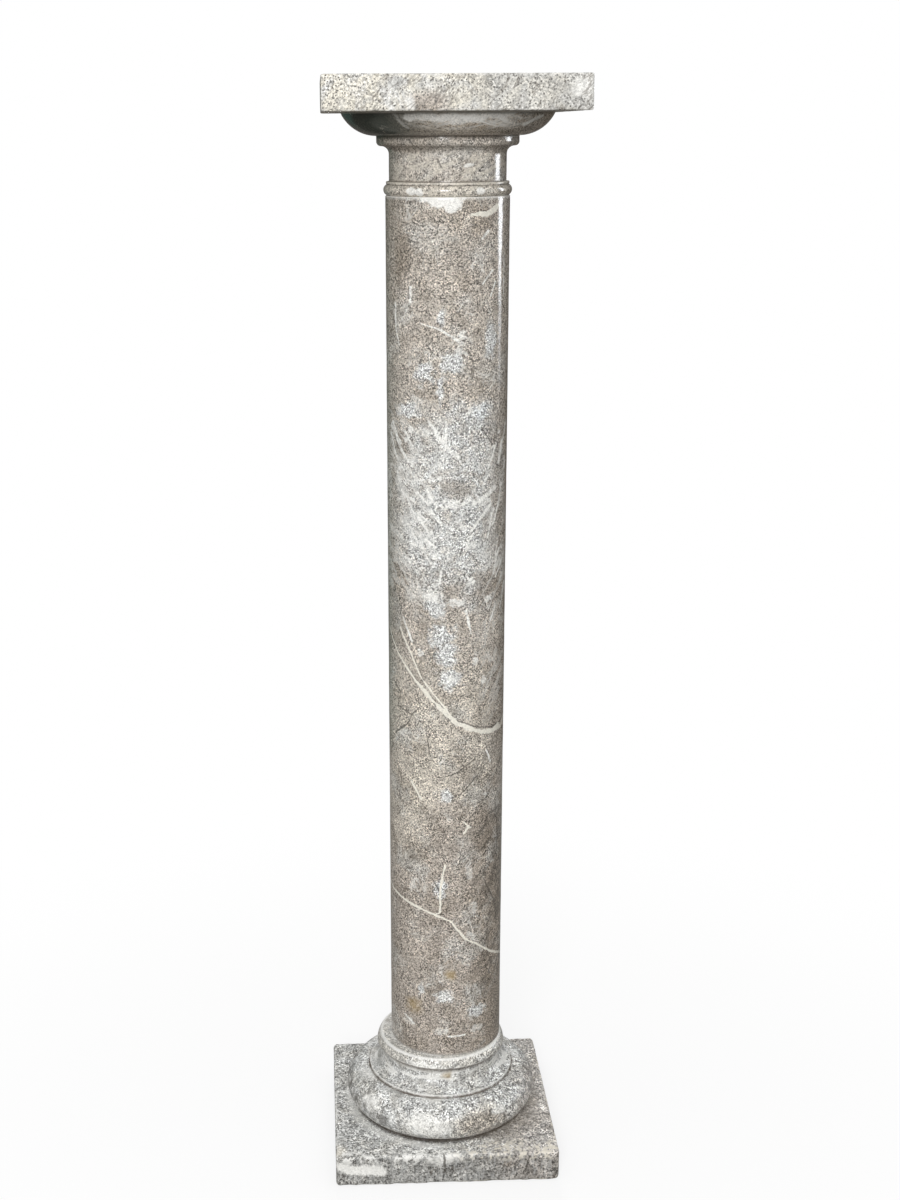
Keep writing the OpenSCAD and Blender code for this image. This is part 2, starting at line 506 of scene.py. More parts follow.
def make_shaft():
    """The turned shaft, with small chips round its bed edges and its marks stored on it."""
    edges = [(SHAFT_R, SHAFT_TOP), (SHAFT_R, SHAFT_FOOT)]
    chips = ring_chips(edges, 26, 0.8, 2.2, seed=13)
    shaft = turned(
        "marble_shaft", shaft_outline(), SHAFT_X, segments=200, step=2.2, chips=chips, seed=41, edge_r=0.3)
    mark(shaft, SHAFT_X, SHAFT_LINES, SHAFT_PATCHES)
    return shaft


def make_capital():
    """The turned capital, with knocks under its fillet at the right."""
    edges = [
        (CAPITAL_FILLET_R, CAPITAL_FILLET_FOOT),
        (CAPITAL_FILLET_R, ECHINUS_FOOT),
        (ASTRAGAL_R, SHAFT_TOP + ASTRAGAL_H / 2),
    ]
    knocks = [(degrees, CAPITAL_FILLET_R + 2.4, CAPITAL_FILLET_FOOT, 4.0) for degrees in (62, 68, 75)]
    chips = knocks + ring_chips(edges, 22, 0.7, 1.4, seed=14)
    return turned(
        "marble_capital", capital_outline(), SHAFT_X, segments=320, step=1.4, chips=chips, seed=51,
        edge_r=0.5)


def make_abacus():
    """The square slab on top, nibbled along its lower front edge at the right."""
    half, height = half_width("abacus"), side("abacus", 1, 2) - ABACUS_BED
    knocks = [(x, -116.6, -1.2, 3.4) for x in (78, 84, 91, 97, 103, 109)]
    knocks += [(116, -114, 0, 3.0), (-115.5, -115.5, 12, 2.2)]
    chips = knocks + edge_chips(half, height, 50, 0.8, 2.6, seed=15)
    return squared(
        "marble_abacus", half, ABACUS_BED, height, middle("abacus"), corner_r=1.6, arris_r=1.2,
        chips=chips, worn=0.5, seed=61)


# ---------------------------------------------------------------- shader nodes

class Graph:
    """Short ways to add shader nodes to one node tree."""

    def __init__(self, tree):
        self.tree = tree
        tree.nodes.clear()

    def node(self, kind, inputs, out=0, **settings):
        """Adds a shader node of a kind, links or sets its inputs and gives one of its outputs."""
        made = self.tree.nodes.new("ShaderNode" + kind)
        for key, value in settings.items():
            setattr(made, key, value)
        for key, value in inputs.items():
            if isinstance(value, bpy.types.NodeSocket):
                self.tree.links.new(value, made.inputs[key])
            else:
                made.inputs[key].default_value = value
        return made.outputs[out]

    def end(self, kind, shader):
        """Adds an output of the tree and links a finished shader to it."""
        output = self.tree.nodes.new("ShaderNode" + kind)
        self.tree.links.new(shader, output.inputs["Surface"])

    def math(self, operation, *values, clamp=False):
        return self.node("Math", dict(enumerate(values)), operation=operation, use_clamp=clamp)

    def vector(self, operation, *values, out=0):
        return self.node("VectorMath", dict(enumerate(values)), out, operation=operation)

    def scaled(self, vector, factor):
        return self.node("VectorMath", {0: vector, "Scale": factor}, operation="SCALE")

    def split(self, vector):
        made = self.tree.nodes.new("ShaderNodeSeparateXYZ")
        self.tree.links.new(vector, made.inputs[0])
        return made.outputs[0], made.outputs[1], made.outputs[2]

    def joined(self, x, y, z=0):
        return self.node("CombineXYZ", {0: x, 1: y, 2: z})

    def noise(self, place, size, detail=2, roughness=0.5, distortion=0, out="Fac"):
        """Noise whose lumps are about size across, in the units of place."""
        inputs = {
            "Vector": place, "Scale": 1 / size, "Detail": detail,
            "Roughness": roughness, "Distortion": distortion,
        }
        return self.node("TexNoise", inputs, out)

    def cells(self, place, size, out="Distance"):
        """Cells about size across: the distance from the nearest seed, or a colour for each."""
        return self.node("TexVoronoi", {"Vector": place, "Scale": 1 / size}, out)

    def step(self, value, low, high):
        """0 at low and 1 at high with a smooth step between; low may be the larger."""
        inputs = {"Value": value, "From Min": low, "From Max": high}
        return self.node("MapRange", inputs, interpolation_type="SMOOTHSTEP")

    def spread(self, value, low, high, to_low, to_high):
        """A straight run from to_low at low to to_high at high, and level beyond them."""
        inputs = {"Value": value, "From Min": low, "From Max": high, "To Min": to_low, "To Max": to_high}
        return self.node("MapRange", inputs)

    def mix(self, amount, a, b):
        """Colour a where amount is 0, colour b where it is 1."""
        return self.node("Mix", {0: amount, 6: a, 7: b}, 2, data_type="RGBA")

    def times(self, *values):
        """The product of the values."""
        product = values[0]
        for value in values[1:]:
            product = self.math("MULTIPLY", product, value)
        return product

    def most(self, *values):
        """The largest of the values."""
        top = values[0]
        for value in values[1:]:
            top = self.math("MAXIMUM", top, value)
        return top

    def each(self, kind, place, *rows):
        """The strongest of several marks of one kind, stroke or blot, in the same place."""
        return self.most(*[kind(place, *row) for row in rows])

    def stroke(self, place, start, end, width):
        """A straight streak from start to end (across, up), as a mask."""
        run = (end[0] - start[0], end[1] - start[1], 0)
        span = run[0] ** 2 + run[1] ** 2
        offset = self.vector("SUBTRACT", place, (start[0], start[1], 0))
        lined_up = self.vector("DOT_PRODUCT", offset, run, out="Value")
        along = self.math("DIVIDE", lined_up, span, clamp=True)
        foot = self.scaled(run, along)
        gap = self.vector("DISTANCE", offset, foot, out="Value")
        return self.step(gap, width * 0.7, width * 0.3)

    def blot(self, place, centre, size, hard=0.5):
        """A soft oval patch (across, up) with half sizes size, as a mask."""
        offset = self.vector("SUBTRACT", place, (centre[0], centre[1], 0))
        shrunk = self.vector("DIVIDE", offset, (size[0], size[1], 1))
        return self.step(self.vector("LENGTH", shrunk, out="Value"), 1, hard)

    def warped(self, place, spot, size, amount):
        """place shaken by noise of spot, so that what is drawn in it gets ragged edges."""
        shake = self.noise(spot, size, 3, 0.6, out="Color")
        centred = self.vector("SUBTRACT", shake, (0.5, 0.5, 0.5))
        push = self.vector("MULTIPLY", centred, (amount, amount, 0))
        return self.vector("ADD", place, push)


# tones of the marble, linear
BEIGE = (0.485, 0.442, 0.39, 1)
TAUPE = (0.45, 0.403, 0.355, 1)
BROWN = (0.27, 0.225, 0.175, 1)
DEEP_TAUPE = (0.27, 0.235, 0.19, 1)
# a painted reflection: the dark room mirrored on the echinus's left
REFLECTION_TEAL = (0.05, 0.066, 0.055, 1)
GREY = (0.52, 0.51, 0.48, 1)
MID_GREY = (0.40, 0.395, 0.375, 1)
PALE_GREY = (0.61, 0.615, 0.605, 1)
BLUISH = (0.74, 0.77, 0.785, 1)
CREAM = (0.78, 0.73, 0.63, 1)
WHITE = (0.92, 0.915, 0.88, 1)
VEIN = (0.90, 0.87, 0.78, 1)
DARK = (0.08, 0.072, 0.062, 1)
DARK_BROWN = (0.10, 0.078, 0.058, 1)
OCHRE = (0.42, 0.30, 0.13, 1)
PINK_BROWN = (0.46, 0.385, 0.33, 1)
ECHINUS_TAN = (0.45, 0.385, 0.31, 1)
ABACUS_CREAM = (0.64, 0.605, 0.52, 1)
ABACUS_GREY = (0.59, 0.585, 0.56, 1)
ABACUS_STAIN = (0.38, 0.33, 0.28, 1)
TORUS_STAIN = (0.38, 0.33, 0.27, 1)

# tones of the room: what the polish mirrors, then the soft light on the stone
ROOM_FRONT = (0.55, 0.55, 0.54, 1)
ROOM_BACK = (0.12, 0.11, 0.10, 1)
ROOM_LEFT = (0.05, 0.085, 0.07, 1)
ROOM_LEFT_MIDDLE = (0.10, 0.16, 0.14, 1)
ROOM_RIGHT_MIDDLE = (0.09, 0.075, 0.055, 1)
ROOM_FLOOR = (0.06, 0.055, 0.05, 1)
WINDOW = (11, 11.5, 12, 1)
SOFT_BACK = (0.04, 0.05, 0.05, 1)
SOFT_FRONT = (0.17, 0.165, 0.16, 1)
SOFT_ABOVE = (0.75, 0.75, 0.75, 1)
SOFT_BELOW = (0.14, 0.135, 0.13, 1)
PURE_WHITE = (1, 1, 1, 1)

# tones of the studio floor: its shadow-keeping paint, and how it looks in the polish
FLOOR_PAINT = (0.9, 0.9, 0.9, 1)
FLOOR_MIRRORED = (0.26, 0.25, 0.23, 1)


class Stone:
    """One marble material: coordinates, the colour built up so far and the final shader.

    spot is the place in the stone; place is flat, across and up: across is the angle round
    a turned stone, or the distance to the right on a squared one.
    """

    def __init__(self, name, centre_x=None):
        self.material = bpy.data.materials.new(name)
        self.material.use_nodes = True
        g = self.g = Graph(self.material.node_tree)
        coords = g.node("TexCoord", {}, "Object")
        self.spot = g.scaled(coords, 1 / MM)
        x, y, z = g.split(self.spot)
        self.x, self.y, self.z = x, y, z
        across = x if centre_x is None else degrees_round(g, x, y, centre_x)
        self.place = g.joined(across, z)
        self.wear = g.node("Attribute", {}, "Fac", attribute_name="wear")
        # the crease mask: painted shade in the creases, and a rougher polish there
        self.crease_shade = g.node("Attribute", {}, "Fac", attribute_name="crease_shade")

    def noise(self, size, *settings):
        """Noise through the stone, with lumps about size across."""
        return self.g.noise(self.spot, size, *settings)

    def paint(self, tone, *masks):
        """Lays a tone over the colour, as strongly as the product of the masks."""
        self.colour = self.g.mix(self.g.times(*masks), self.colour, tone)

    def shade(self, factor):
        """Makes the colour lighter or darker."""
        self.colour = self.g.scaled(self.colour, factor)

    def clouds(self, size, strength):
        """Makes the colour lighter and darker in soft clouds."""
        g = self.g
        cloud = self.noise(size, 5, 0.6, 0.7)
        self.shade(g.spread(cloud, 0.32, 0.68, 1 - strength, 1 + strength))

    def speckle(self, strength, dots, fineness=1):
        """Adds the crystal mottling and the fine dark dots; keeps their relief."""
        g, spot = self.g, self.g.scaled(self.spot, fineness)
        mottle = g.spread(g.noise(spot, 2, 4, 0.8), 0.34, 0.66, -1, 1)
        crystal = g.spread(self.random_of(g.cells(spot, 1.6, "Color")), 0, 1, -1, 1)
        patchy = g.spread(g.noise(spot, 17, 3, 0.6), 0.35, 0.65, 0.65, 1.3)
        tint = g.times(g.math("ADD", g.times(mottle, 0.95), g.times(crystal, 0.7)), patchy)
        shade = g.math("MAXIMUM", g.math("ADD", 1, g.times(tint, strength)), 0.15)
        self.shade(shade)
        shifted = g.vector("ADD", spot, (31, 17, 5))
        picked = g.step(self.random_of(g.cells(shifted, 2.3, "Color")), 0.3, 0.6)
        dot = g.times(g.step(g.cells(shifted, 2.3), 0.4, 0.22), picked, patchy, dots)
        dot = g.math("MINIMUM", dot, 1)
        self.paint(DARK, dot)
        self.relief = g.math("SUBTRACT", g.times(mottle, 0.4), dot)
        self.tint = tint

    def grained(self, tone, amount):
        """A plain tone with a little of the stone's mottling in it."""
        return self.g.scaled(tone[:3], self.g.spread(self.tint, -1, 1, 1 - amount, 1 + amount))

    def layer(self, title):
        """The numbers stored on the mesh under a title."""
        return self.g.node("Attribute", {}, "Fac", attribute_name=title)

    def patches(self, title, size, ragged, low, high):
        """The stone's stored patches with ragged edges, as a mask."""
        g = self.g
        shake = g.times(g.math("SUBTRACT", self.noise(size, 5, 0.65), 0.5), ragged)
        return g.step(g.math("ADD", self.layer(title), shake), low, high)

    def lines(self, title):
        """The stone's stored lines, a little crooked and uneven in width, as a mask."""
        g = self.g
        shake = g.spread(self.noise(9, 4, 0.65), 0, 1, -0.85, 0.85)
        aside = g.math("ABSOLUTE", g.math("ADD", self.layer(title + "_off"), shake))
        uneven = g.spread(self.noise(13, 3, 0.6), 0.3, 0.7, 0.3, 0.75)
        core = g.step(g.math("SUBTRACT", aside, uneven), 0.1, -0.18)
        return g.times(core, g.step(self.layer(title + "_gap"), 1.3, 0.9))

    def random_of(self, cell_colour):
        """One random number between 0 and 1 for each cell."""
        return self.g.node("SeparateColor", {0: cell_colour}, 0)

    def vein_net(self, tone, size, width, share, strength):
        """Adds a net of thin crooked natural veins."""
        g = self.g
        net = self.noise(size, 3, 0.55, 0.6)
        line = g.step(g.math("ABSOLUTE", g.math("SUBTRACT", net, 0.5)), width, width * 0.3)
        where = g.step(self.noise(size * 1.3, 2), 1 - share, 1 - share + 0.12)
        self.paint(tone, line, where, strength)

    def wisps(self, lean, length, width, thin=0.05):
        """Thin wisps drawn out at lean degrees from level as seen from the front, as a mask."""
        g = self.g
        x, y, z = g.split(g.warped(self.spot, self.spot, 50, 24))
        c, s = math.cos(math.radians(lean)), math.sin(math.radians(lean))
        along = g.math("ADD", g.times(x, c * width / length), g.times(z, s * width / length))
        aside = g.math("SUBTRACT", g.times(z, c), g.times(x, s))
        net = g.noise(g.joined(along, aside, g.times(y, 0.4)), width * 1.6, 4, 0.6)
        return g.step(g.math("ABSOLUTE", g.math("SUBTRACT", net, 0.5)), thin, 0)

    def finish(self, roughness, bump, spare=0.12):
        """The finished material: roughness give or take spare, and relief bump mm deep."""
        g = self.g
        smears = self.noise(9, 4, 0.6)
        gloss = g.spread(smears, 0.3, 0.7, roughness - spare, roughness + spare)
        gloss = g.math("ADD", gloss, g.times(g.most(self.wear, self.crease_shade), 0.25), clamp=True)
        normal = g.node("Bump", {"Strength": 1, "Distance": bump * MM, "Height": self.relief})
        inputs = {"Base Color": self.colour, "Roughness": gloss, "Normal": normal}
        shader = g.node("BsdfPrincipled", inputs)
        g.end("OutputMaterial", shader)
        return self.material


def degrees_round(g, x, y, centre_x):
    """The angle round a turned stone: 0 in front, over 0 to the right."""
    turn = g.math("ARCTAN2", g.math("SUBTRACT", x, centre_x), g.math("MULTIPLY", y, -1))
    return g.math("DEGREES", turn)


def strewn_patches(seed, count, angles, heights, sizes):
    """Random patches within a range of angles and heights, with half sizes in a range."""
    dice = random.Random(seed)
    rows = []
    for _ in range(count):
        centre = (dice.uniform(*angles), dice.uniform(*heights))
        rows.append((centre, (dice.uniform(*sizes), dice.uniform(*sizes))))
    return rows


def strewn_lines(seed, count, angles, heights, lengths, lean, widths=(1.6, 2.6)):
    """Random short streaks within a range of angles and heights, near lean degrees from level."""
    dice = random.Random(seed)
    rows = []
    for _ in range(count):
        angle, level = dice.uniform(*angles), dice.uniform(*heights)
        length, slant = dice.uniform(*lengths), math.radians(lean + dice.uniform(-15, 15))
        end = (angle + length * math.cos(slant), level + length * math.sin(slant))
        rows.append(([(angle, level), end], dice.uniform(*widths), dice.uniform(*widths)))
    return rows


# marks on the shaft, by angle in degrees and height: patches as (centre, half sizes) and
# lines as (points, first width, last width)
BOLD_VEIN = [
    (-80, 560), (-60, 540), (-40, 520), (-20, 500), (5, 475), (25, 465), (45, 460), (65, 460),
    (95, 475),
]
LOW_VEIN = [
    (-100, 295), (-75, 285), (-50, 280), (-25, 275), (0, 265), (15, 245), (50, 220), (70, 210),
    (110, 195),
]
SHAFT_PATCHES = {
    "warm": [
        ((5, 705), (20, 10)), ((-50, 745), (15, 20)), ((-25, 750), (10, 10)), ((-20, 590), (20, 10)),
        ((40, 610), (25, 25)), ((30, 945), (20, 20)), ((-50, 915), (15, 30)),
    ],
    "cloud": [
        ((0, 820), (15, 15)), ((-25, 810), (15, 15)), ((-10, 795), (5, 15)), ((-10, 860), (5, 10)),
        ((-45, 775), (20, 10)), ((30, 775), (15, 10)), ((40, 840), (10, 25)), ((-15, 590), (15, 15)),
        ((-10, 560), (20, 20)), ((-5, 545), (15, 25)), ((0, 520), (15, 15)), ((-5, 400), (10, 10)),
        ((-10, 300), (10, 15)), ((30, 160), (15, 10)), ((-5, 180), (15, 10)), ((-30, 185), (5, 10)),
    ] + strewn_patches(71, 14, (90, 270), (150, 950), (8, 20)),
    "clast": [
        ((10, 845), (5, 5)), ((30, 690), (15, 5)), ((0, 690), (15, 5)), ((20, 650), (10, 5)),
        ((20, 615), (5, 5)), ((-20, 600), (10, 5)), ((40, 595), (5, 5)), ((5, 595), (10, 5)),
        ((25, 535), (5, 5)), ((35, 515), (5, 5)), ((0, 520), (5, 5)), ((-30, 545), (5, 5)),
        ((-40, 300), (5, 10)), ((20, 315), (5, 10)), ((25, 275), (5, 10)), ((-45, 145), (10, 5)),
        ((-10, 140), (10, 5)), ((30, 140), (10, 5)), ((-5, 180), (10, 5)),
    ] + strewn_patches(72, 40, (-60, 70), (600, 780), (2, 5))
    + strewn_patches(73, 30, (80, 280), (150, 950), (3, 8)),
    "top_patch": [((-10, 965), (25, 10)), ((0, 960), (10, 10))],
    "ochre": [((-40, 165), (15, 15)), ((0, 205), (10, 10))],
}
SHAFT_LINES = {
    "vein": [
        (BOLD_VEIN, 1.6, 6.6),
        (LOW_VEIN, 2.8, 2.2),
        ([(-5, 325), (-10, 300), (-10, 275)], 1.8, 2.2),
        ([(20, 950), (30, 950), (45, 955)], 3, 5.4),
        ([(-40, 410), (-30, 395)], 2, 2.2),
        ([(15, 370), (20, 365), (15, 360)], 2.2, 2.6),
    ],
    "fork": [([(-55, 565), (-40, 540), (-30, 520), (-5, 490), (5, 475)], 1.6, 1.8)],
    "streak": [
        ([(-20, 765), (-10, 750), (5, 735)], 3, 4), ([(-65, 760), (-55, 740), (-40, 725)], 3.6, 3),
        ([(-70, 750), (-60, 730), (-50, 720)], 2.6, 2), ([(70, 760), (60, 740), (55, 725)], 3, 2.4),
        ([(-5, 765), (-5, 750)], 2.6, 2), ([(25, 690), (45, 700)], 4, 5),
        ([(20, 665), (40, 685)], 3, 3.6), ([(-10, 625), (-10, 615)], 2.4, 2),
        ([(15, 585), (20, 565)], 2.4, 2), ([(-50, 575), (-40, 555)], 2.2, 2.2),
        ([(-60, 870), (-60, 850), (-55, 835)], 2.4, 1.6), ([(-30, 855), (-10, 850), (5, 840)], 1.2, 2.4),
        ([(40, 440), (45, 430)], 2.8, 2.4), ([(30, 930), (35, 935)], 2.2, 2),
        ([(30, 890), (40, 900)], 1.6, 2.2), ([(40, 880), (45, 890)], 2.2, 1.8),
        ([(60, 915), (60, 880)], 1.8, 1.8), ([(-40, 885), (-40, 875)], 2.8, 2.4),
        ([(-40, 145), (-50, 150)], 2.4, 2.4), ([(0, 135), (15, 135)], 2, 2),
    ] + strewn_lines(74, 12, (-70, -15), (640, 760), (8, 22), -50)
    + strewn_lines(75, 16, (30, 75), (560, 740), (8, 26), 62)
    + strewn_lines(1500, 20, (85, 270), (560, 770), (8, 22), 55),
    "crack": [
        ([(x, z + 0.6 + 0.03 * (x + 80)) for x, z in BOLD_VEIN], 1, 1.4),
        ([(-70, 510), (-55, 500), (-60, 485), (-40, 480), (-45, 470), (-65, 455)], 1.3, 1.6),
        ([(-40, 480), (-30, 490), (-35, 505)], 1.4, 1.2), ([(0, 420), (25, 435)], 1.2, 1.4),
        ([(10, 400), (30, 420)], 1.2, 1.2), ([(-25, 470), (-20, 440)], 1.1, 1.1),
        ([(55, 380), (60, 355), (60, 330)], 1.8, 1.4), ([(40, 300), (55, 275), (60, 250)], 1.6, 1.3),
        ([(-65, 430), (-55, 410), (-60, 385)], 1.2, 1.2), ([(30, 760), (45, 740)], 1.2, 1.2),
        ([(-60, 235), (-55, 225), (-60, 215)], 1.2, 1.2), ([(-15, 305), (-10, 295)], 1.8, 1.4),
    ] + strewn_lines(77, 10, (85, 270), (150, 950), (12, 40), -40, (0.8, 1.2)),
}


def shaft_ground(s):
    """Broad colour: warm above, a pale cool zone at mid height, taupe below."""
    g = s.g
    level = g.split(g.warped(s.place, s.spot, 48, 110))[1]
    ragged = g.split(g.warped(g.joined(s.x, level), s.spot, 13, 45))[1]
    s.colour = g.mix(g.step(level, 430, 330), BEIGE, TAUPE)
    creamy = g.times(g.step(level, 380, 430), g.step(level, 560, 480), g.step(s.x, 52, 38))
    s.paint(CREAM, creamy, 0.3)
    creamy_left = g.times(g.step(s.z, 300, 340), g.step(s.z, 440, 400), g.step(s.x, 0, -30))
    s.paint(CREAM, creamy_left, 0.3)
    s.paint(BROWN, g.step(s.x, 10, 52), g.step(s.z, 420, 330), 0.55)
    s.paint(BROWN, g.step(s.z, 880, 940), g.step(s.x, 30, -30), 0.3)
    s.paint(GREY, g.step(s.noise(34, 4, 0.6), 0.5, 0.66), 0.55)
    s.paint(BROWN, g.step(s.noise(27, 3, 0.6), 0.52, 0.36), 0.35)
    edges = g.times(g.step(s.x, 58, 30), g.step(s.x, -52, -28))
    pale = g.times(g.step(ragged, 590, 625), g.step(ragged, 790, 750), g.spread(edges, 0, 1, 0.1, 1))
    wisp = g.step(s.noise(12, 5, 0.65, 0.8), 0.34, 0.6)
    s.paint(PALE_GREY, pale, g.spread(wisp, 0, 1, 0.35, 1))
    s.paint(BROWN, s.patches("warm", 16, 1.2, 0, 0.7), 0.55)
    s.clouds(26, 0.16)
    s.paint(BLUISH, s.patches("cloud", 8, 2, 0.1, 0.6), 0.65)


def shaft_wisps(s):
    """Wisps that lean one way on the left and the other way on the right, and thin nets."""
    g = s.g
    left_side = g.times(g.step(s.x, 10, -20), g.step(s.z, 580, 620), g.step(s.z, 800, 740))
    s.paint(WHITE, s.wisps(-48, 70, 9), left_side, 0.5)
    right_side = g.times(g.step(s.x, 25, 45), g.step(s.z, 440, 520), g.step(s.z, 720, 640))
    s.paint(WHITE, s.wisps(58, 70, 8), right_side, 0.45)
    low_right = g.times(g.step(s.x, 5, 40), g.step(s.z, 140, 220), g.step(s.z, 480, 420))
    s.paint(DARK, s.wisps(50, 60, 10), low_right, 0.6)
    s.vein_net(WHITE, 26, 0.014, 0.5, 0.5)
    s.vein_net(DARK_BROWN, 44, 0.008, 0.5, 0.55)


def shaft_figures(s):
    """Cracks, the solid white of clasts, streaks and the long veins, then the ochre stains."""
    g = s.g
    s.paint(DARK, s.lines("crack"), 0.75)
    broken = g.step(s.noise(4, 4, 0.7), 0.4, 0.56)
    clasts = g.times(s.patches("clast", 4, 2, 0.1, 0.4), g.spread(broken, 0, 1, 0.3, 0.85))
    clasts = g.times(clasts, g.spread(s.z, 400, 600, 0.6, 1))
    streaks = g.times(s.lines("streak"), g.spread(broken, 0, 1, 0.5, 1))
    top_patch = g.times(s.patches("top_patch", 6, 1.4, 0, 0.35), 0.95)
    s.paint(s.grained(WHITE, 0.2), g.most(clasts, streaks, top_patch))
    s.paint(s.grained(VEIN, 0.13), g.most(s.lines("vein"), s.lines("fork")), 0.95)
    s.paint(OCHRE, s.patches("ochre", 12, 1.6, 0, 0.9), 0.6)


def shaft_marble():
    """The polished, browner stone of the shaft."""
    s = Stone("shaft_marble", SHAFT_X)
    g = s.g
    shaft_ground(s)
    s.speckle(0.95, 1.1, 1.45)
    shaft_wisps(s)
    shaft_figures(s)
    s.paint(WHITE, s.wear, 0.7)
    s.paint(DARK_BROWN, g.step(s.z, SHAFT_FOOT + 6, SHAFT_FOOT), 0.5)
    return s.finish(0.09, 0.012, 0.03)


def capital_ground(s, turn, upper, tan):
    """Broad colour: beige and grey on the neck, darker taupe and tan on the echinus."""
    g = s.g
    s.colour = g.mix(g.times(g.step(s.noise(22, 5, 0.65, 0.5), 0.45, 0.65), 0.6), BEIGE, GREY)
    s.clouds(16, 0.2)
    low_band = g.times(g.step(s.z, 1000, 1005), g.step(s.x, 30, -20))
    s.paint(BROWN, low_band, 0.45)
    s.paint(DEEP_TAUPE, upper)
    s.paint(ECHINUS_TAN, tan, upper, 0.9)
    s.paint(BEIGE, g.step(turn, 25, 60), g.step(turn, 170, 120), upper, 0.9)
    s.paint(CREAM, g.step(s.z, SHAFT_TOP + 10, SHAFT_TOP + 9), 0.3)


def echinus_figures(s, loose, turn, upper, tan):
    """The echinus's marks: a painted dark teal reflection on the left, pale swirls in the middle with
    painted glints, and a dark seam with painted shade on top.
    """
    g = s.g
    # painted reflection: dark teal on the echinus's left
    reflection_left = g.times(g.step(turn, -12, -45), g.step(turn, -170, -110))
    s.paint(REFLECTION_TEAL, upper, reflection_left, 0.9)
    swirl = g.most(s.wisps(-14, 60, 8, 0.09), g.times(s.wisps(20, 40, 6, 0.06), 0.7))
    s.paint(WHITE, swirl, upper, tan, g.step(s.z, 1019, 1026))
    # painted highlight: a faint pale band beside the teal's edge
    painted_glint = g.times(g.stroke(loose, (-36, 1038), (-28, 1024), 3), 0.35)
    # pale sweeps of the stone across the middle, and a painted reflection at the right
    swirls_and_glints = g.most(painted_glint, g.each(
        g.stroke, loose, ((-25, 1033), (5, 1030), 6), ((5, 1030), (30, 1036), 7),
        ((44, 1026), (56, 1034), 4)))
    s.paint(s.grained(WHITE, 0.2), swirls_and_glints, upper, 0.8)
    # the dark seam under the abacus, with painted shade along the echinus's top below it
    under = g.step(s.z, ABACUS_BED - 3.5, ABACUS_BED - 0.5)
    s.paint(DARK, under, 0.8)


def neck_figures(s, loose):
    """Marks on the neck and the bead: wisps, clasts and two little cracks."""
    g = s.g
    tight = g.warped(s.place, s.spot, 5, 2.6)
    wisp = g.times(s.wisps(28, 40, 7), g.step(s.z, 1004, 1000), 0.6)
    s.paint(CREAM, wisp)
    clasts = g.each(g.blot, tight, ((-38, 970), (6, 4), 0.7), ((-30, 969), (5, 4), 0.7),
                    ((26, 970), (5, 4), 0.7))
    clasts = g.most(clasts, g.blot(loose, (16, 992), (7, 2)))
    s.paint(s.grained(WHITE, 0.15), clasts, 0.85)
    cracks = g.each(g.stroke, tight, ((-36, 1014), (-31, 1007), 1.6), ((-14, 997), (-10, 990), 1.6))
    s.paint(DARK, cracks, 0.7)


def capital_marble():
    """The polished stone of the capital."""
    s = Stone("capital_marble", SHAFT_X)
    g = s.g
    loose = g.warped(s.place, s.spot, 14, 10)
    turn = g.split(s.place)[0]
    upper = g.step(s.z, 1013, 1018)
    tan = g.blot(loose, (10, 1032), (50, 20), 0.2)
    capital_ground(s, turn, upper, tan)
    s.speckle(0.75, 1, 1.3)
    echinus_figures(s, loose, turn, upper, tan)
    neck_figures(s, loose)
    s.vein_net(CREAM, 22, 0.014, 0.5, 0.5)
    s.paint(CREAM, s.wear, 0.5)
    # painted shade in the capital's creases
    s.paint(DARK_BROWN, s.crease_shade, 0.75)
    return s.finish(0.11, 0.015, 0.04)


def abacus_marble():
    """The worn, creamy stone of the abacus."""
    s = Stone("abacus_marble")
    g = s.g
    loose = g.warped(s.place, s.spot, 14, 9)
    patchy = g.step(s.noise(24, 5, 0.6, 0.8), 0.42, 0.62)
    s.colour = g.mix(patchy, ABACUS_CREAM, ABACUS_GREY)
    s.paint(GREY, g.step(s.x, -10, 50), 0.6)
    s.clouds(45, 0.1)
    s.clouds(15, 0.12)
    s.paint(ABACUS_STAIN, g.blot(loose, (-20, 1043), (26, 14), 0.4), 0.9)
    s.paint(CREAM, g.blot(loose, (-84, 1050), (20, 16), 0.1), 0.3)
    swirl = g.times(s.wisps(35, 40, 8, 0.07), g.step(s.x, 20, 60), 0.4)
    s.paint(MID_GREY, swirl)
    s.speckle(0.6, 1.1)
    pits = g.step(g.cells(g.vector("ADD", s.spot, (7, 3, 11)), 3.4), 0.26, 0.14)
    s.paint(DARK, pits, 0.7)
    white = g.each(g.blot, loose, ((110, 1056), (16, 13), 0.3), ((-35, 1043), (6, 8), 0.3))
    s.paint(s.grained(WHITE, 0.2), white, 0.7)
    diagonal = g.joined(g.math("ADD", s.x, s.z), g.math("SUBTRACT", s.z, s.x), s.y)
    slanted = g.vector("MULTIPLY", diagonal, (0.3, 1, 0.6))
    strewn = g.step(s.noise(30, 2), 0.42, 0.56)
    flecks = g.times(g.step(g.cells(slanted, 8), 0.2, 0.1), strewn)
    s.paint(DARK, flecks, 0.85)
    s.paint(DARK_BROWN, s.wisps(52, 50, 11, 0.02), 0.6)
    s.vein_net(MID_GREY, 26, 0.014, 0.55, 0.6)
    rub = g.times(s.wear, g.step(s.noise(6, 3), 0.4, 0.6))
    s.paint(WHITE, rub, 0.5)
    return s.finish(0.42, 0.05)


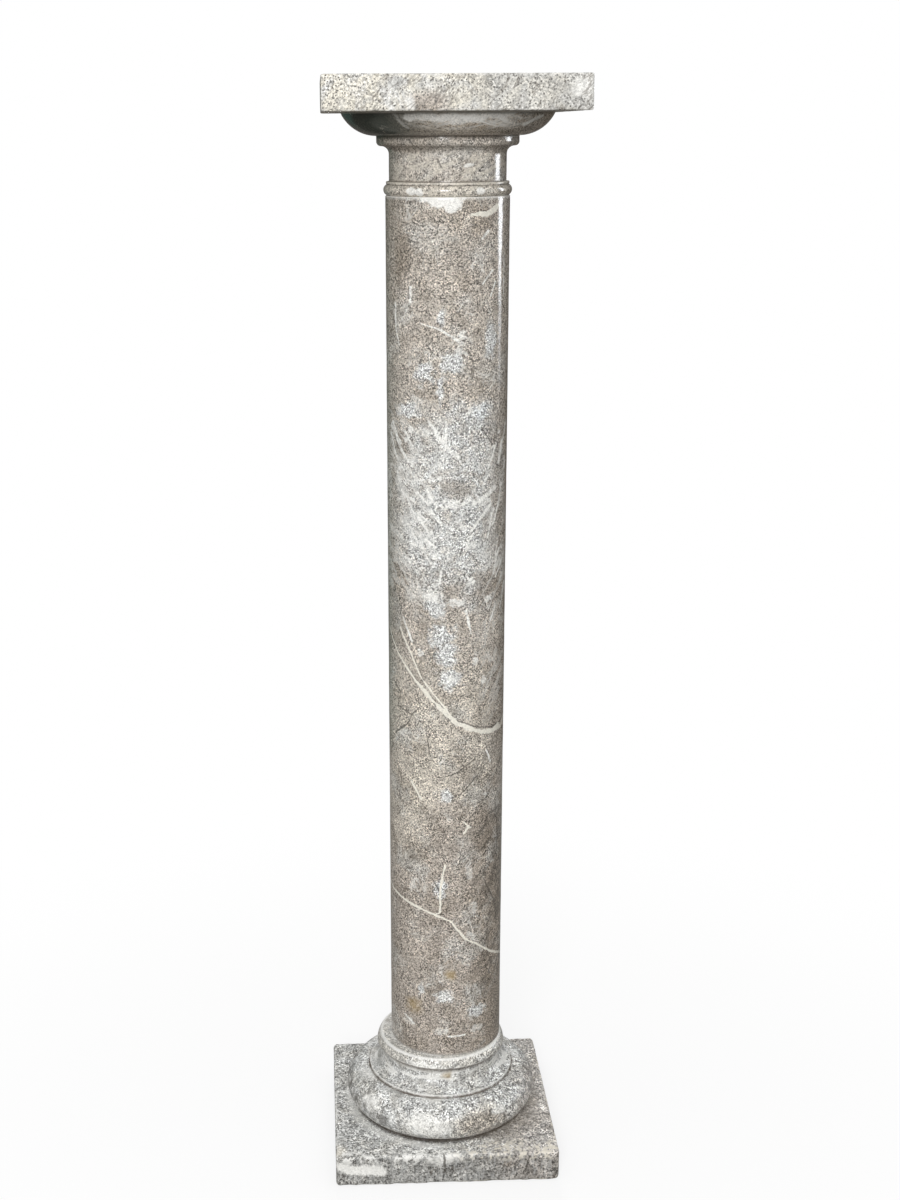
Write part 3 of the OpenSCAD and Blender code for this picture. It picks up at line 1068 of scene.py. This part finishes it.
def base_ground(s, loose, bands):
    """Grey stone with stains, coarse lumps at the torus's sides and level bands above it, the pale ones
    painted highlights.
    """
    g = s.g
    turn = g.split(s.place)[0]
    s.colour = g.mix(g.step(s.noise(24, 5, 0.65, 0.6), 0.4, 0.6), GREY, PALE_GREY)
    s.clouds(14, 0.18)
    s.paint(CREAM, g.step(s.z, 99, 103), 0.2)
    s.paint(TORUS_STAIN, g.blot(loose, (22, 54), (24, 22), 0.3), 0.7)
    s.paint(PINK_BROWN, g.blot(loose, (75, 50), (40, 30)), 0.4)
    blotchy = s.noise(7, 4, 0.65)
    s.shade(g.spread(blotchy, 0.34, 0.66, 0.72, 1.25))
    strong = g.spread(s.x, -45, 75, 0.75, 1.15)
    quiet = g.times(g.step(s.z, 74, 80), g.spread(g.step(s.y, -25, 25), 0, 1, 0.25, 1))
    strong = g.times(strong, g.spread(quiet, 0, 1, 1, 0.6))
    s.speckle(strong, g.spread(quiet, 0, 1, 1.1, 0.3), 1.15)
    coarse = g.cells(g.vector("MULTIPLY", s.spot, (1, 1, 0.7)), 6)
    sides = g.math("ADD", g.step(turn, 22, 40), g.step(turn, -25, -40), clamp=True)
    lumps = g.times(g.step(coarse, 0.34, 0.22), sides, g.step(s.z, 74, 70))
    s.paint(WHITE, lumps, 0.7)
    gaps = g.times(g.step(coarse, 0.62, 0.8), sides, g.step(s.z, 74, 70))
    s.paint(DARK, gaps, 0.6)
    # painted highlights: pale level bands on the scotia and the throat
    painted_light = g.times(g.step(bands, 0.5, 0.6), g.step(s.z, 72, 76), g.step(s.z, 102, 99))
    s.paint(WHITE, painted_light, 0.75)
    murky = g.times(g.step(bands, 0.46, 0.34), g.step(s.z, 72, 76))
    s.paint(MID_GREY, murky, 0.5)
    solid = g.each(g.blot, loose, ((-12, 54), (18, 16), 0.5), ((-16, 104), (22, 6), 0.5),
                   ((34, 62), (7, 5), 0.5), ((-52, 62), (12, 9), 0.3))
    broken = g.step(s.noise(4.5, 4, 0.7), 0.4, 0.54)
    s.paint(s.grained(WHITE, 0.25), solid, g.spread(broken, 0, 1, 0.35, 0.9))
    s.vein_net(DARK_BROWN, 20, 0.01, 0.5, 0.6)
    s.paint(OCHRE, g.blot(loose, (2, 93), (8, 6), 0.1), 0.6)
    s.paint(WHITE, s.wear, 0.65)


def base_creases(s, bands):
    """Painted shade in the creases, under the ring and along the torus's foot, and painted highlights on
    the ledge round the shaft's foot and along the ring's top edge.
    """
    g = s.g
    # painted highlight in streaks on the ledge round the shaft's foot
    shaft_gap = g.vector("LENGTH", g.joined(g.math("SUBTRACT", s.x, SHAFT_X), s.y), out="Value")
    ledge_highlight = g.times(g.step(shaft_gap, 60, 58.5), g.step(s.z, 110, 112))
    streaky = g.spread(g.step(bands, 0.45, 0.6), 0, 1, 0.1, 0.5)
    s.paint(WHITE, ledge_highlight, streaky)
    # painted shade under the ring's overhang
    shade_under_ring = g.times(g.step(s.z, 94, 100), g.step(s.z, 103.4, 102.9))
    s.paint(DARK_BROWN, shade_under_ring, 0.75)
    # painted shade along the torus's foot, wider at the right
    contact_shade = g.most(g.step(s.z, PLINTH_TOP + 6, PLINTH_TOP + 2),
                     g.times(g.step(s.z, PLINTH_TOP + 17, PLINTH_TOP + 5), g.step(s.x, 15, 60), 0.7))
    s.paint(DARK_BROWN, contact_shade, 0.85)
    # painted highlight along the ring's top edge
    reach = g.vector("LENGTH", g.joined(s.x, s.y), out="Value")
    on_top = g.step(s.z, SHAFT_FOOT - 2.4, SHAFT_FOOT - 1)
    rim_highlight = g.times(on_top, g.step(reach, RING_TOP_R - 2.4, RING_TOP_R - 1))
    s.paint(WHITE, rim_highlight, 0.7)
    # painted shade in the creases, uneven round the stone
    uneven = g.spread(s.noise(11, 4, 0.6), 0.35, 0.6, 0.35, 0.95)
    s.paint(DARK_BROWN, s.crease_shade, uneven)


def base_marble():
    """The worn, dull stone of the base."""
    s = Stone("base_marble", 0)
    g = s.g
    loose = g.warped(s.place, s.spot, 14, 12)
    bands = g.noise(g.vector("MULTIPLY", s.spot, (0.12, 0.12, 1)), 5, 4, 0.6)
    base_ground(s, loose, bands)
    base_creases(s, bands)
    return s.finish(0.4, 0.08)


def plinth_ground(s, front, top):
    """Grey stone with painted shade that makes the sides darker than the top and the front darker still,
    pinker at the right and blotchy all over.
    """
    g = s.g
    loose = g.warped(s.place, s.spot, 12, 8)
    s.colour = g.mix(g.step(s.noise(22, 5, 0.65, 0.6), 0.4, 0.6), GREY, PALE_GREY)
    # painted shade: the front darker
    s.paint(MID_GREY, front, 0.85)
    s.paint(PINK_BROWN, g.step(s.x, 10, 90), 0.35)
    s.clouds(16, 0.3)
    s.paint(MID_GREY, top, g.step(s.x, -20, -90), 0.3)
    # painted shade: every side darker than the top
    s.shade(g.spread(top, 0, 1, 0.78, 1.02))
    brown = g.blot(loose, (61, 20), (10, 7), 0.1)
    s.paint(BROWN, brown, front, 0.6)
    blotchy = s.noise(6.5, 4, 0.65)
    s.shade(g.spread(blotchy, 0.34, 0.66, 0.66, 1.34))
    s.speckle(0.9, 1.1)
    s.paint(PALE_GREY, s.wisps(78, 30, 7), front, 0.4)
    s.vein_net(DARK_BROWN, 24, 0.01, 0.5, 0.55)


def plinth_figures(s, front, top):
    """The white band, a painted strip of light before the torus, and painted shadow round the torus and to
    its right.
    """
    g = s.g
    broken = g.warped(g.warped(s.place, s.spot, 12, 8), s.spot, 3.5, 7)
    band = g.each(g.stroke, broken, ((-112, 23), (-92, 19), 8), ((-100, 19), (-68, 17), 11))
    drips = g.times(g.blot(broken, (-4, 28), (24, 9), 0.2), 0.7)
    s.paint(s.grained(WHITE, 0.15), g.most(band, drips), front, 0.95)
    corner = g.times(g.blot(g.joined(s.x, s.y), (-112, -100), (14, 16), 0.2), top)
    s.paint(CREAM, corner, 0.6)
    reach = g.vector("LENGTH", g.joined(s.x, s.y), out="Value")
    # painted light: a pale strip on the top before the torus, at the left
    painted_light = g.times(g.step(reach, 90, 94), g.step(reach, 104, 97), g.step(s.x, 40, -20), top)
    s.paint(WHITE, painted_light, 0.5)
    # painted shadow round the torus's foot
    contact_shade = g.times(g.step(reach, 92, 87), top)
    s.paint(DARK_BROWN, contact_shade, 0.8)
    # painted shadow on the top to the right of the torus
    shadow_right = g.times(g.step(reach, 116, 94), g.step(s.x, 10, 60), top)
    s.paint(BROWN, shadow_right, 0.35)


def plinth_edges(s, front, top):
    """Pale chips along the arrises, creamier at the right, and two cracks in the front."""
    g = s.g
    tight = g.warped(s.place, s.spot, 5, 3)
    right_front = g.times(top, g.step(s.y, -80, -104), g.step(s.x, -10, 50))
    near_edge = g.most(s.wear, g.times(g.step(s.z, 22, 30), g.step(s.y, -98, -106)), right_front)
    chips = g.times(near_edge, g.step(s.noise(7, 4, 0.65), 0.49, 0.55))
    s.paint(g.mix(g.step(s.x, -10, 40), WHITE, CREAM), chips, 0.85)
    cracks = g.each(g.stroke, tight, ((-4, 31), (-3, 14), 2.4), ((82, 28), (79, 12), 1.6))
    s.paint(DARK, cracks, front, 0.8)


def plinth_marble():
    """The worn, dull stone of the plinth."""
    s = Stone("plinth_marble")
    g = s.g
    front = g.step(s.y, -107, -111)
    top = g.step(s.z, PLINTH_TOP - 2, PLINTH_TOP - 0.5)
    plinth_ground(s, front, top)
    plinth_figures(s, front, top)
    plinth_edges(s, front, top)
    return s.finish(0.5, 0.08)


# ---------------------------------------------------------------- studio

def make_floor():
    """A wide pale floor that keeps the shadow near the column and fades to white."""
    mesh = bpy.data.meshes.new("floor")
    reach, sides = 1.2, 64
    turns = [2 * math.pi * i / sides for i in range(sides)]
    rim = [(reach * math.cos(a), reach * math.sin(a), 0) for a in turns]
    mesh.from_pydata(rim, [], [tuple(range(sides))])
    floor = bpy.data.objects.new("floor", mesh)
    bpy.context.collection.objects.link(floor)
    material = bpy.data.materials.new("floor_paint")
    material.use_nodes = True
    g = Graph(material.node_tree)
    coords = g.node("TexCoord", {}, "Object")
    seen = g.node("LightPath", {}, "Is Camera Ray")
    far = g.step(g.vector("LENGTH", coords, out="Value"), 0.15, 0.9)
    glow = g.node("Emission", {"Color": PURE_WHITE, "Strength": 1})
    paint = g.node("BsdfDiffuse", {"Color": FLOOR_PAINT})
    dim = g.node("BsdfDiffuse", {"Color": FLOOR_MIRRORED})
    shown = g.node("MixShader", {0: g.spread(far, 0, 1, 0.75, 1), 1: paint, 2: glow})
    both = g.node("MixShader", {0: seen, 1: dim, 2: shown})
    g.end("OutputMaterial", both)
    mesh.materials.append(material)


def mirrored_room(g, x, y, slope):
    """What the polish mirrors: a lit room in front, dim walls behind the column and a window."""
    behind = g.step(y, -0.1, 0.5)
    left = g.step(x, -0.1, -0.5)
    middle = g.times(behind, g.step(slope, -0.05, -0.17), g.step(slope, -0.44, -0.37))
    room = g.mix(behind, ROOM_FRONT, ROOM_BACK)
    room = g.mix(g.times(behind, left), room, ROOM_LEFT)
    room = g.mix(g.times(middle, left), room, ROOM_LEFT_MIDDLE)
    room = g.mix(g.times(middle, g.step(x, 0.1, 0.5)), room, ROOM_RIGHT_MIDDLE)
    room = g.mix(g.times(behind, g.step(slope, -0.37, -0.44)), room, ROOM_FLOOR)

    # a window at the right, wider towards its top; azimuth 0 is straight behind the column
    azimuth = g.math("DEGREES", g.math("ARCTAN2", x, y))
    glow = g.step(slope, -0.165, -0.03)
    right_edge = g.step(azimuth, g.spread(glow, 0, 1, 71, 77), g.spread(glow, 0, 1, 68, 75))
    window = g.times(g.step(azimuth, 63, 65), right_edge, glow, g.step(slope, 0.5, 0.4))
    return g.mix(window, room, WINDOW)


def soft_light(g, y, z):
    """The light that falls on the stone: most from above, some from the front."""
    soft = g.mix(g.step(y, 0.6, -0.6), SOFT_BACK, SOFT_FRONT)
    soft = g.mix(g.step(z, 0.25, 0.75), soft, SOFT_ABOVE)
    return g.mix(g.step(z, 0, -0.05), soft, SOFT_BELOW)


def make_world():
    """White to the camera, soft light to the stone, and a dim room in its polish."""
    world = bpy.data.worlds.new("studio")
    bpy.context.scene.world = world
    world.use_nodes = True
    world.cycles.sampling_method = "NONE"
    g = Graph(world.node_tree)
    x, y, z = g.split(g.node("TexCoord", {}, "Generated"))
    level = g.math("SQRT", g.math("ADD", g.math("MULTIPLY", x, x), g.math("MULTIPLY", y, y)))
    slope = g.math("DIVIDE", z, g.math("MAXIMUM", level, 0.001))
    glossy = g.node("LightPath", {}, "Is Glossy Ray")
    camera = g.node("LightPath", {}, "Is Camera Ray")
    colour = g.mix(glossy, soft_light(g, y, z), mirrored_room(g, x, y, slope))
    colour = g.mix(camera, colour, PURE_WHITE)
    back = g.node("Background", {"Color": colour, "Strength": 1})
    g.end("OutputWorld", back)


def add_lamp(name, place, target, size, watts, mirrored=True):
    """An oblong lamp that faces target; if not mirrored, the polish doesn't show it."""
    lamp = bpy.data.lights.new(name, "AREA")
    lamp.shape = "RECTANGLE"
    lamp.size, lamp.size_y = size
    lamp.energy = watts
    obj = bpy.data.objects.new(name, lamp)
    obj.location = place
    aim = Vector(target) - Vector(place)
    obj.rotation_euler = aim.to_track_quat("-Z", "Y").to_euler()
    obj.visible_glossy = mirrored
    bpy.context.collection.objects.link(obj)


def make_camera():
    """A camera a little left of the column and about as high as its top, tilted down."""
    place = Vector((-0.114, -1.594, 1.024))
    heading, pitch, roll = 0.045, 0.299, -0.006
    ahead = Vector((
        math.sin(heading) * math.cos(pitch), math.cos(heading) * math.cos(pitch), -math.sin(pitch)))
    right = Vector((math.cos(heading), -math.sin(heading), 0))
    up = right.cross(ahead)
    level_right = right * math.cos(roll) + up * math.sin(roll)
    level_up = up * math.cos(roll) - right * math.sin(roll)
    data = bpy.data.cameras.new("camera")
    data.lens = 50.86
    data.sensor_width = 36
    data.shift_x = 0.0431
    data.shift_y = 0.0417
    camera = bpy.data.objects.new("camera", data)
    turn = Matrix((level_right, level_up, -ahead)).transposed()
    camera.matrix_world = Matrix.Translation(place) @ turn.to_4x4()
    bpy.context.collection.objects.link(camera)
    bpy.context.scene.camera = camera


# ---------------------------------------------------------------- assembly

PIECES = {
    "shaft": (make_shaft, shaft_marble),
    "plinth": (make_plinth, plinth_marble),
    "base": (make_base, base_marble),
    "capital": (make_capital, capital_marble),
    "abacus": (make_abacus, abacus_marble),
}
for node, (make_stone, make_marble) in PIECES.items():
    stone = make_stone()
    stone.data.materials.append(make_marble())
    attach(stone, "root")
    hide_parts(node)

make_floor()
make_world()
add_lamp("key", (-0.5, -2.97, 1.75), (0, 0, 0.5), (1, 1.3), 80)
add_lamp("back_fill", (0.1, 3, 0.8), (0, 0, 0.5), (0.5, 1), 45, mirrored=False)
make_camera()

bpy.context.scene.view_settings.view_transform = "Standard"
